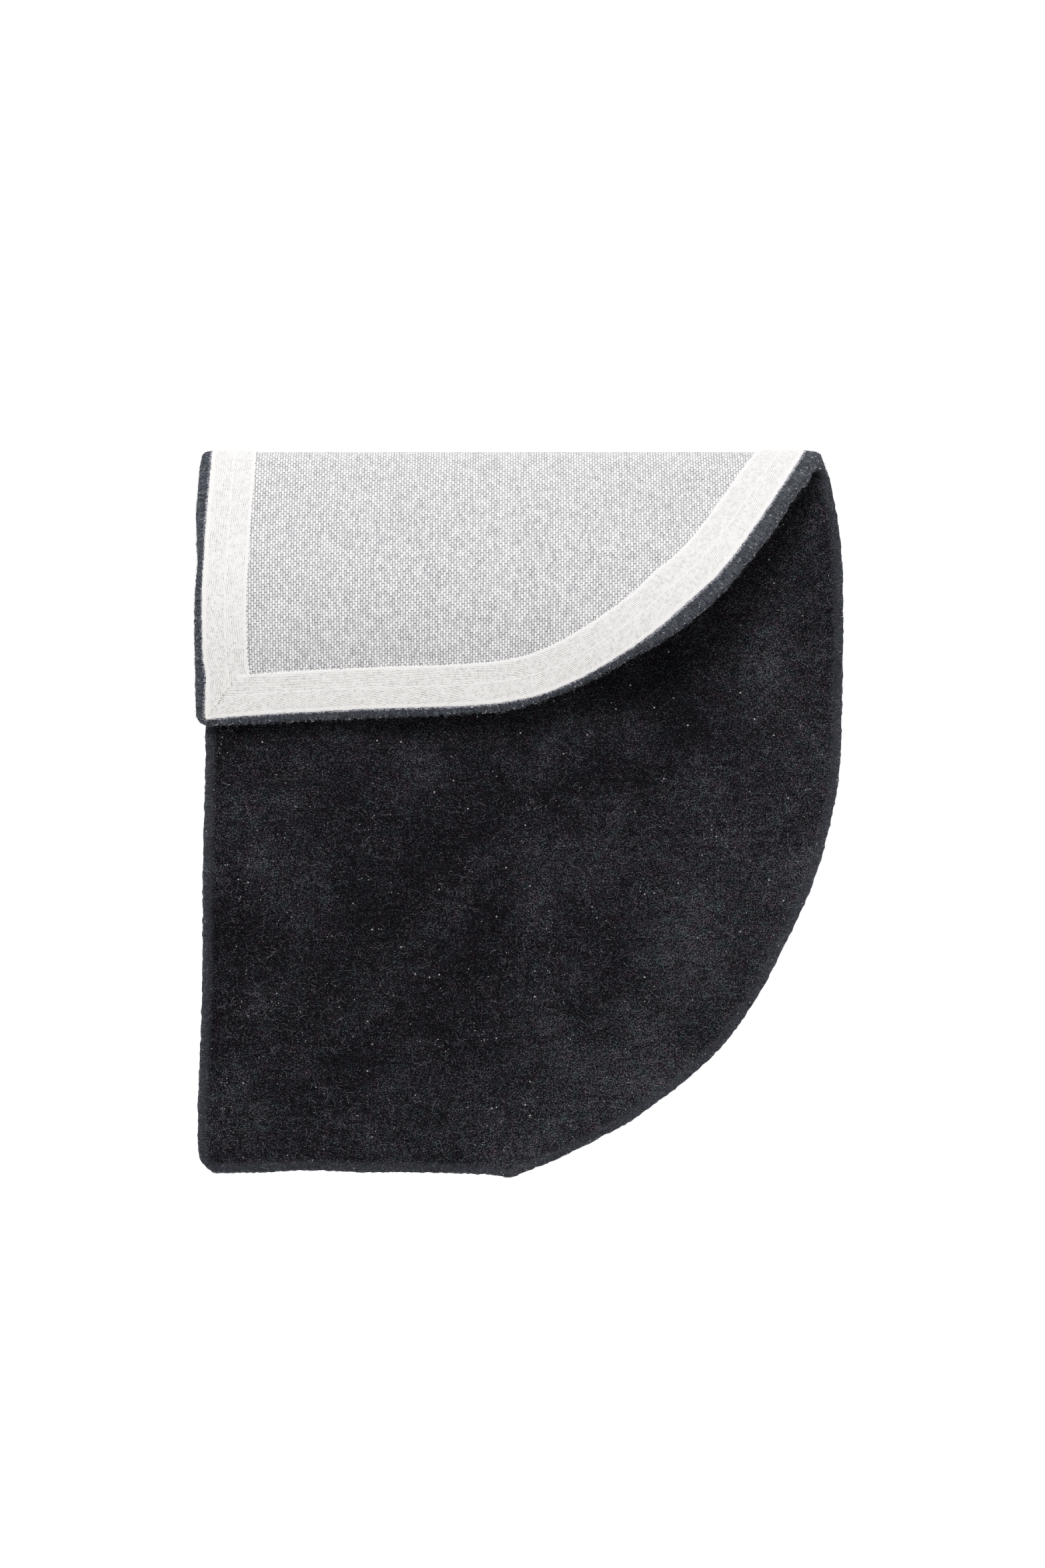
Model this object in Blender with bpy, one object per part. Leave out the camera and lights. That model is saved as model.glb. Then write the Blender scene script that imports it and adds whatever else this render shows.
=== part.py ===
"""Tufted doormat with one rounded long side, lying pile up with its far end folded over.

The mat is drawn flat, in millimetres: x across from the straight side, s along from the lying
end, h up from the underside of the binding tape. Then each point is carried round the fold.
"""
import math

import bmesh
import bpy
from mathutils import Vector
from mathutils.geometry import interpolate_bezier

MM = 0.001

# Driving sizes in millimetres
WIDTH = 500.0
REACH = 563.0
GAP = 0.3
TAPE_WIDTH = 35.0
TAPE_THICKNESS = 1.0
CANVAS_BASE = TAPE_THICKNESS + GAP
CANVAS_THICKNESS = 1.0
PILE_BASE = CANVAS_BASE + CANVAS_THICKNESS + GAP
OUTLINE_STEP = 15.0

# Tufted pile from its ground cloth, round the rim that wraps the cut edge, to the tips of its tufts:
# height, inset from the outline, and share of the tape's own inset that is added to it
PILE_PROFILE = (
    (PILE_BASE, -0.5, 1.0),
    (0.9, -0.6, 1.0),
    (0.7, 0.0, 0.5),
    (2.4, 0.8, 0.0),
    (6.0, 0.1, 0.0),
    (10.0, 0.0, 0.0),
    (13.5, 1.2, 0.0),
    (15.1, 4.5, 0.0),
)

# Canvas, hidden at its edge under the tape, in the same three columns
CANVAS_PROFILE = (
    (CANVAS_BASE, 4.0, 1.0),
    (CANVAS_BASE + CANVAS_THICKNESS, 4.0, 1.0),
)

# Round corners of the pile: radius, and the share of the tape's inset that is left between its square
# corner and the pile's round one, in steps along the round stretch
LYING_ROUND = (17.0, (1.0, 0.8, 0.2, 0.8, 1.0))
FOLDED_ROUND = (9.0, (1.0, 0.9, 0.7, 0.9, 1.0))

# How far a round stretch's handles stay from the corner
CORNER_FULLNESS = 0.45

# Rounded side, from the lying corner round to the folded corner: x, s, inset of the tape
RIM = (
    (1, 3, 6),
    (50, 4, 6),
    (85, 5.5, 6),
    (125, 4.2, 6),
    (190, 3.6, 6),
    (228, 2, 6),
    (242, 0, 6),
    (251, 3.4, 6),
    (275, 13, 6),
    (306.5, 28.1, 6),
    (338.5, 45.8, 6),
    (353.8, 57.1, 6),
    (369, 67.9, 6),
    (400, 95.2, 6),
    (421.7, 121.7, 6),
    (443, 156.4, 6),
    (451.9, 175, 6),
    (461.5, 193.7, 6),
    (477, 229.5, 6),
    (488, 266, 6),
    (495.5, 302, 6),
    (498.5, 340, 6),
    (500, 440, 6),
    (498, 492, 7),
    (493, 525, 9),
    (486.5, 556, 13),
    (482, 574, 12),
    (477, 592, 10.5),
    (469, 611, 11),
    (456.5, 631.5, 10),
    (442.5, 656.5, 11),
    (422.5, 684.5, 10),
    (404, 709, 11.5),
    (383, 729, 12.8),
    (362.5, 745.5, 11.5),
    (337, 760.5, 8.5),
    (308, 777, 7),
    (274.5, 792, 6.3),
    (244, 801, 8),
    (209, 804, 8),
    (126, 806, 8.6),
    (56, 809, 8.5),
    (0, 811.5, 6.5),
)

# Straight side, from the folded corner back to the lying corner: x, s, inset of the tape
SIDE = (
    (0, 811.5, 6.6),
    (0.2, 785, 7.6),
    (0.6, 770, 8.3),
    (0.9, 755, 6.6),
    (1.9, 705, 5.6),
    (3.7, 676, 5.2),
    (2.2, 645, 7.8),
    (3, 600, 9),
    (5, 540, 7),
    (6, 350, 6),
    (4, 245, 6),
    (3, 140, 6),
    (0, 52, 6),
    (1, 3, 6),
)

# The fold, in runs along the cloth: length and turn in degrees at the straight side, then at the crown
FOLD = (
    ("lower bend", 29, 90, 33, 90),
    ("upper bend", 16, 51, 18, 44),
    ("rise", 34, 18, 34, 17),
    ("slope", 50, 10, 50, 9),
    ("crest", 50, 23, 50, 26),
    ("fall", 30, 13, 30, 16),
    ("landing", 60, -2, 60, -2),
)

# Rows where the faces are cut so that they can bend: from, to, spacing. Past the start of the fold
# they are cut in columns too. A cut takes a corner that lies within ON_CUT of it.
FOLD_START = 540.0
ROWS = (
    (90, FOLD_START, 90),
    (FOLD_START, 597, 3),
    (597, 632, 7),
    (632, 680, 16),
    (680, 770, 9),
    (770, 810, 20),
)
COLUMN_SPACING = 36.0
ON_CUT = 0.1
ON_MITRE = 0.001
SHARP_FROM = math.radians(35)


def smooth_path(points):
    """Points about every OUTLINE_STEP on a curve through the given ones."""
    knots = [Vector(point) for point in points]
    knots = [2 * knots[0] - knots[1]] + knots + [2 * knots[-1] - knots[-2]]
    path = [knots[1]]
    for before, start, end, after in zip(knots, knots[1:], knots[2:], knots[3:]):
        count = max(1, round((end - start).length / OUTLINE_STEP))
        handles = start + (end - before) / 6, end - (after - start) / 6
        path += interpolate_bezier(start, *handles, end, count + 1)[1:]
    return path


def inward(before, after):
    """Unit vector to the left of the way from one point to the other, which is into the mat."""
    return Vector((before.y - after.y, after.x - before.x, 0)).normalized()


def rounded_corner(before, arriving, leaving, after, rounding):
    """A short round stretch in place of the sharp corner where one edge arrives and the next one leaves."""
    radius, rooms = rounding
    start = arriving + (before - arriving).normalized() * radius
    end = leaving + (after - leaving).normalized() * radius
    handles = arriving.lerp(start, CORNER_FULLNESS), leaving.lerp(end, CORNER_FULLNESS)
    stretch = interpolate_bezier(start, *handles, end, len(rooms))
    return [Vector((p.x, p.y, p.z * room)) for p, room in zip(stretch, rooms)]


def mat_outline():
    """The pile's closed outline, anticlockwise from above: point, inward normal, inset of the tape."""
    rim = smooth_path(RIM)
    side = smooth_path(SIDE)
    loop = rim[2:-2] + rounded_corner(rim[-3], rim[-1], side[0], side[2], FOLDED_ROUND) + side[2:-2]
    loop += rounded_corner(side[-3], side[-1], rim[0], rim[2], LYING_ROUND)
    turns = zip(loop[-1:] + loop[:-1], loop, loop[1:] + loop[:1])
    return [(Vector((p.x, p.y, 0)), inward(before, after), p.z) for before, p, after in turns]


def slab(profile):
    """A closed solid of the mat's outline, through the levels of a profile."""
    outline = mat_outline()
    levels = []
    for height, inset, share in profile:
        up = Vector((0, 0, height))
        levels.append([p + normal * (inset + share * tape_inset) + up for p, normal, tape_inset in outline])
    bm = bmesh.new()
    base = face = bm.faces.new([bm.verts.new(p) for p in levels[0]])
    for level in levels[1:]:
        grown = bmesh.ops.extrude_face_region(bm, geom=[face])["geom"]
        if face is not base:
            bmesh.ops.delete(bm, geom=[face], context="FACES_ONLY")
        face = next(item for item in grown if isinstance(item, bmesh.types.BMFace))
        for vert, p in zip(face.verts, level):
            vert.co = p
    return bm


def faces_and_borders(faces):
    """The faces with their edges and corners, as a cut takes them."""
    edges = {edge for face in faces for edge in face.edges}
    verts = {vert for face in faces for vert in face.verts}
    return sorted(verts, key=lambda v: v.index) + sorted(edges, key=lambda e: e.index) + list(faces)


def tape(edge, keep_rim_side):
    """A flat tape along one edge, cut to the mitre at each corner of the mat."""
    path = smooth_path(edge)
    points = [Vector((p.x, p.y, 0)) for p in path]
    last = len(points) - 1
    bm = bmesh.new()
    pairs = []
    for i, p in enumerate(points):
        normal = inward(points[max(i - 1, 0)], points[min(i + 1, last)])
        inset = path[i].z
        pairs.append([bm.verts.new(p + normal * reach) for reach in (inset, inset + TAPE_WIDTH)])
    for (outer, inner), (next_outer, next_inner) in zip(pairs, pairs[1:]):
        bm.faces.new((outer, next_outer, next_inner, inner))
    for corner, across in mitres():
        offset = 0.0 if keep_rim_side else -GAP
        near = [face for face in bm.faces if (face.calc_center_median() - corner).length < 2 * TAPE_WIDTH]
        bmesh.ops.bisect_plane(
            bm, geom=faces_and_borders(near), dist=ON_MITRE,
            plane_co=corner + across * offset, plane_no=across,
            clear_inner=keep_rim_side, clear_outer=not keep_rim_side)
    grown = bmesh.ops.extrude_face_region(bm, geom=bm.faces[:])["geom"]
    upper = [item for item in grown if isinstance(item, bmesh.types.BMVert)]
    bmesh.ops.translate(bm, verts=upper, vec=(0, 0, TAPE_THICKNESS))
    return bm


def mitres():
    """The tape's outer corner and the direction across the mitre, at each end of the straight side."""
    lying = Vector((SIDE[-1][0] + SIDE[-1][2], RIM[0][1] + RIM[0][2], 0))
    folded = Vector((SIDE[0][0] + SIDE[0][2], RIM[-1][1] - RIM[-1][2], 0))
    return (lying, Vector((1, -1, 0)).normalized()), (folded, Vector((1, 1, 0)).normalized())


def cut_for_bending(bm):
    """Cut all the faces on the same rows and columns, so that stacked layers bend alike."""
    for start, end, spacing in ROWS:
        for i in range(round((end - start) / spacing)):
            bmesh.ops.bisect_plane(
                bm, geom=faces_and_borders(bm.faces), dist=ON_CUT,
                plane_co=(0, start + i * spacing, 0), plane_no=(0, 1, 0))
    for i in range(1, round(WIDTH / COLUMN_SPACING)):
        bending = [face for face in bm.faces if min(v.co.y for v in face.verts) > FOLD_START - 2 * ON_CUT]
        bmesh.ops.bisect_plane(
            bm, geom=faces_and_borders(bending), dist=ON_CUT,
            plane_co=(i * COLUMN_SPACING, 0, 0), plane_no=(1, 0, 0))


def fold_runs(x):
    """Length and turn of each run of the section at x, from the lying end on."""
    share = min(1.0, max(0.0, x / WIDTH))
    share = share * share * (3 - 2 * share)
    runs = []
    for _, side_length, side_turn, crown_length, crown_turn in FOLD:
        length = side_length + (crown_length - side_length) * share
        turn = side_turn + (crown_turn - side_turn) * share
        runs.append((length, math.radians(turn)))
    bend_radius = runs[0][0] / runs[0][1]
    return [(REACH - bend_radius, 0.0)] + runs


def folded(point):
    """The place in the room, in metres, of a point of the flat mat."""
    left = point.y
    y = z = angle = 0.0
    runs = fold_runs(point.x)
    for i, (length, turn) in enumerate(runs):
        step = left if i == len(runs) - 1 else min(left, length)
        curvature = turn / length
        end_angle = angle + curvature * step
        if curvature:
            y += (math.sin(end_angle) - math.sin(angle)) / curvature
            z += (math.cos(angle) - math.cos(end_angle)) / curvature
        else:
            y += step
        angle = end_angle
        left -= step
        if left <= 0:
            break
    y -= point.z * math.sin(angle)
    z += point.z * math.cos(angle)
    return Vector((point.x - WIDTH / 2, y - REACH / 2, z)) * MM


def finish_material(name, colour, roughness):
    material = bpy.data.materials.new(name)
    material.use_nodes = True
    shader = material.node_tree.nodes["Principled BSDF"]
    shader.inputs["Base Color"].default_value = (*colour, 1.0)
    shader.inputs["Roughness"].default_value = roughness
    shader.inputs["Metallic"].default_value = 0.0
    return material


def add_node(name, bm, material):
    """Bend the flat solid round the fold and put it in the scene."""
    cut_for_bending(bm)
    bmesh.ops.recalc_face_normals(bm, faces=bm.faces[:])
    bmesh.ops.triangulate(bm, faces=bm.faces[:])
    for vert in bm.verts:
        vert.co = folded(vert.co)
    mesh = bpy.data.meshes.new(name)
    bm.to_mesh(mesh)
    bm.free()
    mesh.shade_smooth()
    mesh.set_sharp_from_angle(angle=SHARP_FROM)
    mesh.materials.append(material)
    bpy.context.collection.objects.link(bpy.data.objects.new(name, mesh))


def add_pile():
    wool = finish_material("black_wool", (0.013, 0.014, 0.018), 0.95)
    add_node("pile", slab(PILE_PROFILE), wool)


def add_backing_canvas():
    canvas = finish_material("grey_white_canvas", (0.62, 0.62, 0.64), 0.9)
    add_node("backing_canvas", slab(CANVAS_PROFILE), canvas)


def add_tapes():
    cotton = finish_material("ivory_cotton_tape", (0.80, 0.77, 0.72), 0.85)
    add_node("tape_side", tape(SIDE, keep_rim_side=False), cotton)
    add_node("tape_rim", tape(RIM, keep_rim_side=True), cotton)


for item in list(bpy.data.objects):
    bpy.data.objects.remove(item, do_unlink=True)
add_pile()
add_backing_canvas()
add_tapes()
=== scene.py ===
import math
import random
from collections import namedtuple

import bmesh
import bpy
from mathutils import Matrix, Vector, kdtree, noise
from mathutils.geometry import interpolate_bezier


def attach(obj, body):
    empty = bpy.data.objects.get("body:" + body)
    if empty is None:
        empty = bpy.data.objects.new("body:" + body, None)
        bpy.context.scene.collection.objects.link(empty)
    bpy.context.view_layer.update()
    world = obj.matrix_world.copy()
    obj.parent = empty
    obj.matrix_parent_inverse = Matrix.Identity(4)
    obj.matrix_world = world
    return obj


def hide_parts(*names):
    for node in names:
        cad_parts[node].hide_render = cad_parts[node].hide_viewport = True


# Doormat with one rounded long side, lying pile up with its far end folded over. Its pieces are
# drawn on the flat mat in millimetres (x across from the straight side, s along from the lying
# end, h up from the underside of the tape) and then carried round the fold into the frame.
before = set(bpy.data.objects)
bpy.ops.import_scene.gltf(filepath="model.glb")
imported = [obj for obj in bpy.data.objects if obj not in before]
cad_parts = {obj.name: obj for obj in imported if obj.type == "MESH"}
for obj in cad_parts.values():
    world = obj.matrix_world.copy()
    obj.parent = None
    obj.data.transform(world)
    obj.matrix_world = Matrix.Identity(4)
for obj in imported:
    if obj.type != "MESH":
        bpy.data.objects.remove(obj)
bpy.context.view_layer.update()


# Camera, floor and lamps
# The camera hangs straight above the mat, as in the photograph. The floor is white and glows a
# little, under an even white sky, with one broad soft box beyond the fold.
CAMERA_PLACE = (0.00155, 0.02337, 2.8)
CAMERA_LENS = 82.55
CAMERA_SENSOR = 36.0
CAMERA_REACH = 50.0
FLOOR_SIZE = 8.0
FLOOR_LEVEL = -0.0004
FLOOR_COLOUR = (0.55, 0.55, 0.55, 1)
FLOOR_ROUGHNESS = 0.9
FLOOR_GLOW = 1.15
WHITE = (1, 1, 1, 1)
SKY_STRENGTH = 0.62
SOFT_BOX_PLACE = (-0.40, 1.40, 2.15)
SOFT_BOX_SIZE = (0.9, 0.8)
SOFT_BOX_POWER = 45.0

# Bright tones are drawn in a little, as film draws them, so that the weave shows in the white cloth:
# how bright a tone comes in and goes out
BRIGHT_TONES = ((0.70, 0.69), (0.90, 0.825))
BRIGHTEST_TONE = (1.0, 0.875)

camera_data = bpy.data.cameras.new("camera")
camera_data.lens = CAMERA_LENS
camera_data.sensor_width = CAMERA_SENSOR
camera_data.clip_end = CAMERA_REACH
camera = bpy.data.objects.new("camera", camera_data)
camera.location = CAMERA_PLACE
bpy.context.collection.objects.link(camera)
bpy.context.scene.camera = camera

bm = bmesh.new()
bmesh.ops.create_grid(bm, x_segments=1, y_segments=1, size=FLOOR_SIZE / 2)
bmesh.ops.translate(bm, verts=bm.verts, vec=(0, 0, FLOOR_LEVEL))
floor_mesh = bpy.data.meshes.new("floor")
bm.to_mesh(floor_mesh)
bm.free()
floor = bpy.data.objects.new("floor", floor_mesh)
bpy.context.collection.objects.link(floor)

white_floor = bpy.data.materials.new("white_floor")
white_floor.use_nodes = True
floor_shader = white_floor.node_tree.nodes["Principled BSDF"]
floor_shader.inputs["Base Color"].default_value = FLOOR_COLOUR
floor_shader.inputs["Roughness"].default_value = FLOOR_ROUGHNESS
floor_shader.inputs["Emission Color"].default_value = WHITE
floor_shader.inputs["Emission Strength"].default_value = FLOOR_GLOW
floor_mesh.materials.append(white_floor)

sky = bpy.data.worlds.new("even_sky")
sky.use_nodes = True
sky.node_tree.nodes["Background"].inputs["Color"].default_value = WHITE
sky.node_tree.nodes["Background"].inputs["Strength"].default_value = SKY_STRENGTH
bpy.context.scene.world = sky

view = bpy.context.scene.view_settings
view.view_transform = "Standard"
view.use_curve_mapping = True
tone_curve = view.curve_mapping.curves[3]
for tone in BRIGHT_TONES:
    tone_curve.points.new(*tone)
tone_curve.points[-1].location = BRIGHTEST_TONE
view.curve_mapping.update()

box_lamp = bpy.data.lights.new("soft_box", "AREA")
box_lamp.shape = "RECTANGLE"
box_lamp.size, box_lamp.size_y = SOFT_BOX_SIZE
box_lamp.energy = SOFT_BOX_POWER
soft_box = bpy.data.objects.new("soft_box", box_lamp)
soft_box.location = SOFT_BOX_PLACE
soft_box.rotation_euler = (-Vector(SOFT_BOX_PLACE)).to_track_quat("-Z", "Y").to_euler()
bpy.context.collection.objects.link(soft_box)


# Tufted pile
# Black wool yarn, tufted through a ground cloth and cut level. The cloth's cut edge is turned
# under, so the yarn rounds the rim and shows as a narrow band beside the tape on the back.
MM = 0.001
WIDTH = 500.0
REACH = 563.0
OUTLINE_STEP = 15.0
FINE_STEP = 1.0
NORMAL_STEPS = 3
PILE_COLUMNS = 190
PILE_ROWS = 390
PILE_HEIGHT = 15.1
SHARP_FROM = math.radians(60)

# Lumps of the tufts: how far they stand up or down on the face, then the sizes of a coarse and a fine
# lump on the face and on the pile's side, where they are a little flattened
FACE_LUMP = 0.45
FACE_LUMPS = (9.0, 3.6)
WALL_LUMPS = (5.0, 2.6)
WALL_LUMP_FLATTENED = 1.3

# Round corners of the pile: radius, and the share of the tape's inset that is left between its square
# corner and the pile's round one, in steps along the round stretch
LYING_ROUND = (17.0, (1.0, 0.8, 0.2, 0.8, 1.0))
FOLDED_ROUND = (9.0, (1.0, 0.9, 0.7, 0.9, 1.0))
CORNER_FULLNESS = 0.45

# Rounded side, from the lying corner round to the folded corner: x, s, inset of the tape
RIM = (
    (1, 3, 6),
    (50, 4, 6),
    (85, 5.5, 6),
    (125, 4.2, 6),
    (190, 3.6, 6),
    (228, 2, 6),
    (242, 0, 6),
    (251, 3.4, 6),
    (275, 13, 6),
    (306.5, 28.1, 6),
    (338.5, 45.8, 6),
    (353.8, 57.1, 6),
    (369, 67.9, 6),
    (400, 95.2, 6),
    (421.7, 121.7, 6),
    (443, 156.4, 6),
    (451.9, 175, 6),
    (461.5, 193.7, 6),
    (477, 229.5, 6),
    (488, 266, 6),
    (495.5, 302, 6),
    (498.5, 340, 6),
    (500, 440, 6),
    (498, 492, 7),
    (493, 525, 9),
    (486.5, 556, 13),
    (482, 574, 12),
    (477, 592, 10.5),
    (469, 611, 11),
    (456.5, 631.5, 10),
    (442.5, 656.5, 11),
    (422.5, 684.5, 10),
    (404, 709, 11.5),
    (383, 729, 12.8),
    (362.5, 745.5, 11.5),
    (337, 760.5, 8.5),
    (308, 777, 7),
    (274.5, 792, 6.3),
    (244, 801, 8),
    (209, 804, 8),
    (126, 806, 8.6),
    (56, 809, 8.5),
    (0, 811.5, 6.5),
)

# Straight side, from the folded corner back to the lying corner: x, s, inset of the tape
SIDE = (
    (0, 811.5, 6.6),
    (0.2, 785, 7.6),
    (0.6, 770, 8.3),
    (0.9, 755, 6.6),
    (1.9, 705, 5.6),
    (3.7, 676, 5.2),
    (2.2, 645, 7.8),
    (3, 600, 9),
    (5, 540, 7),
    (6, 350, 6),
    (4, 245, 6),
    (3, 140, 6),
    (0, 52, 6),
    (1, 3, 6),
)

# Where the outline turns from one of the four sides of its grid to the next
NEAR_SHOULDER = Vector((242, 0, 0))
FAR_SHOULDER = Vector((244, 801, 0))

# The fold, in runs along the cloth: length and turn in degrees at the straight side, then at the crown
FOLD = (
    ("lower bend", 29, 90, 33, 90),
    ("upper bend", 16, 51, 18, 44),
    ("rise", 34, 18, 34, 17),
    ("slope", 50, 10, 50, 9),
    ("crest", 50, 23, 50, 26),
    ("fall", 30, 13, 30, 16),
    ("landing", 60, -2, 60, -2),
)
FOLD_START = 540.0

# Pile's side, from the tips of its tufts to its ground cloth: height, inset from the outline,
# share of the tape's own inset that is added to it, and how far its tufts stand in or out
PILE_WALL = (
    (PILE_HEIGHT, 4.2, 0.0, 0.6),
    (14.7, 2.6, 0.0, 1.1),
    (13.9, 1.1, 0.0, 1.4),
    (12.4, 0.1, 0.0, 1.3),
    (10.0, -0.5, 0.0, 1.2),
    (7.5, -0.4, 0.0, 1.2),
    (5.0, 0.0, 0.0, 0.9),
    (2.8, 0.6, 0.0, 0.6),
    (1.5, 0.6, 0.18, 0.4),
    (0.8, 0.3, 0.50, 0.3),
    (0.3, 0.0, 0.85, 0.2),
    (0.4, -0.1, 1.0, 0.1),
    (1.2, -0.2, 1.0, 0.0),
    (2.6, -0.5, 1.0, 0.0),
)

# The hidden ground cloth is cut in rows and columns, so that it bends. Rows: from, to, spacing
GROUND_ROWS = (
    (FOLD_START, 597, 3),
    (597, 632, 7),
    (632, 680, 16),
    (680, 770, 9),
    (770, 810, 20),
)
GROUND_COLUMN = 36.0


def smooth_stretch(before, start, end, after, count):
    """Points in count steps from start to end, on a curve that comes from before and goes on to after."""
    return interpolate_bezier(start, start + (end - before) / 6, end - (after - start) / 6, end, count + 1)


def smooth_path(points):
    """Points about every OUTLINE_STEP on a curve through the given ones."""
    knots = [Vector(point) for point in points]
    knots = [2 * knots[0] - knots[1]] + knots + [2 * knots[-1] - knots[-2]]
    path = [knots[1]]
    for before, start, end, after in zip(knots, knots[1:], knots[2:], knots[3:]):
        count = max(1, round((end - start).length / OUTLINE_STEP))
        path += smooth_stretch(before, start, end, after, count)[1:]
    return path


def rounded_corner(before, arriving, leaving, after, rounding):
    """A short round stretch in place of the sharp corner where one edge arrives and the next one leaves."""
    radius, rooms = rounding
    start = arriving + (before - arriving).normalized() * radius
    end = leaving + (after - leaving).normalized() * radius
    handles = arriving.lerp(start, CORNER_FULLNESS), leaving.lerp(end, CORNER_FULLNESS)
    stretch = interpolate_bezier(start, *handles, end, len(rooms))
    return [Vector((p.x, p.y, p.z * room)) for p, room in zip(stretch, rooms)]


def closed_outline():
    """The pile's outline, anticlockwise from above in steps of about FINE_STEP, as x, s and tape inset.
    It starts in the middle of the lying corner."""
    rim = smooth_path(RIM)
    side = smooth_path(SIDE)
    lying_corner = rounded_corner(side[-3], side[-1], rim[0], rim[2], LYING_ROUND)
    folded_corner = rounded_corner(rim[-3], rim[-1], side[0], side[2], FOLDED_ROUND)
    middle = len(lying_corner) // 2
    loop = lying_corner[middle:] + rim[2:-2] + folded_corner + side[2:-2] + lying_corner[:middle]
    fine = []
    for i, start in enumerate(loop):
        before, end, after = (loop[(i + ahead) % len(loop)] for ahead in (-1, 1, 2))
        count = max(1, round((end - start).xy.length / FINE_STEP))
        fine += smooth_stretch(before, start, end, after, count)[:-1]
    return fine


OUTLINE = closed_outline()


def nearest_on_outline(place):
    return min(range(len(OUTLINE)), key=lambda i: (OUTLINE[i].xy - place.xy).length)


LYING_CORNER = 0
NEAR_TURN = nearest_on_outline(NEAR_SHOULDER)
FAR_TURN = nearest_on_outline(FAR_SHOULDER)
FOLDED_CORNER = nearest_on_outline(Vector(SIDE[0]))
LAST_TURN = len(OUTLINE)


def drawn_in(along, inset, share):
    """The place at a whole or part step along the outline, drawn in by inset and a share of the tape's."""
    i = math.floor(along)
    here = OUTLINE[i % len(OUTLINE)].lerp(OUTLINE[(i + 1) % len(OUTLINE)], along - i)
    way = OUTLINE[(i + 1 + NORMAL_STEPS) % len(OUTLINE)] - OUTLINE[(i - NORMAL_STEPS) % len(OUTLINE)]
    normal = Vector((-way.y, way.x)).normalized()
    return here.xy + normal * (inset + share * here.z)


def mat_grid(columns, rows, inset, share, height):
    """A flat sheet of four-sided faces that fills the outline. Its border keeps its step along it."""
    bm = bmesh.new()
    along = bm.verts.layers.float.new("along")
    bmesh.ops.create_grid(bm, x_segments=columns, y_segments=rows, size=0.5)
    near = [LYING_CORNER + (NEAR_TURN - LYING_CORNER) * i / columns for i in range(columns + 1)]
    far = [FOLDED_CORNER - (FOLDED_CORNER - FAR_TURN) * i / columns for i in range(columns + 1)]
    side = [LAST_TURN - (LAST_TURN - FOLDED_CORNER) * i / rows for i in range(rows + 1)]
    crown = [NEAR_TURN + (FAR_TURN - NEAR_TURN) * i / rows for i in range(rows + 1)]
    near_line, far_line, side_line, crown_line = (
        [drawn_in(step, inset, share) for step in steps] for steps in (near, far, side, crown))
    for vert in bm.verts:
        u = vert.co.x + 0.5
        v = vert.co.y + 0.5
        i = round(u * columns)
        j = round(v * rows)
        ends = near_line[i].lerp(far_line[i], v) + side_line[j].lerp(crown_line[j], u)
        corners = near_line[0].lerp(near_line[-1], u).lerp(far_line[0].lerp(far_line[-1], u), v)
        vert.co = (*(ends - corners), height)
        if j in (0, rows):
            vert[along] = near[i] if j == 0 else far[i]
        elif i in (0, columns):
            vert[along] = side[j] if i == 0 else crown[j]
    return bm


def tuft_relief(place, coarse, fine):
    """About -1 to 1, with lumps of coarse and fine millimetres."""
    return 0.6 * noise.noise(place / coarse) + 0.6 * noise.noise(place / fine)


def fold_runs(x):
    """Length and turn of each run of the section at x, from the lying end on."""
    share = min(1.0, max(0.0, x / WIDTH))
    share = share * share * (3 - 2 * share)
    runs = []
    for _, side_length, side_turn, crown_length, crown_turn in FOLD:
        length = side_length + (crown_length - side_length) * share
        turn = side_turn + (crown_turn - side_turn) * share
        runs.append((length, math.radians(turn)))
    bend_radius = runs[0][0] / runs[0][1]
    return [(REACH - bend_radius, 0.0)] + runs


def folded(point):
    """The place in the frame, in metres, of a point of the flat mat."""
    left = point.y
    y = z = angle = 0.0
    runs = fold_runs(point.x)
    for i, (length, turn) in enumerate(runs):
        step = left if i == len(runs) - 1 else min(left, length)
        curvature = turn / length
        end_angle = angle + curvature * step
        if curvature:
            y += (math.sin(end_angle) - math.sin(angle)) / curvature
            z += (math.cos(angle) - math.cos(end_angle)) / curvature
        else:
            y += step
        angle = end_angle
        left -= step
        if left <= 0:
            break
    y -= point.z * math.sin(angle)
    z += point.z * math.cos(angle)
    return Vector((point.x - WIDTH / 2, y - REACH / 2, z)) * MM


def lay_piece(name, bm, finish):
    """Turn a flat closed piece into an object round the fold. Its points keep their flat places."""
    flat = bm.verts.layers.float_vector.new("flat")
    bmesh.ops.recalc_face_normals(bm, faces=bm.faces)
    bmesh.ops.triangulate(bm, faces=[face for face in bm.faces if len(face.verts) > 4])
    for vert in bm.verts:
        vert[flat] = vert.co * MM
        vert.co = folded(vert.co)
    mesh = bpy.data.meshes.new(name)
    bm.to_mesh(mesh)
    bm.free()
    mesh.shade_smooth()
    mesh.set_sharp_from_angle(angle=SHARP_FROM)
    mesh.materials.append(finish)
    piece = bpy.data.objects.new(name, mesh)
    bpy.context.collection.objects.link(piece)
    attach(piece, "root")
    return piece


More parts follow.
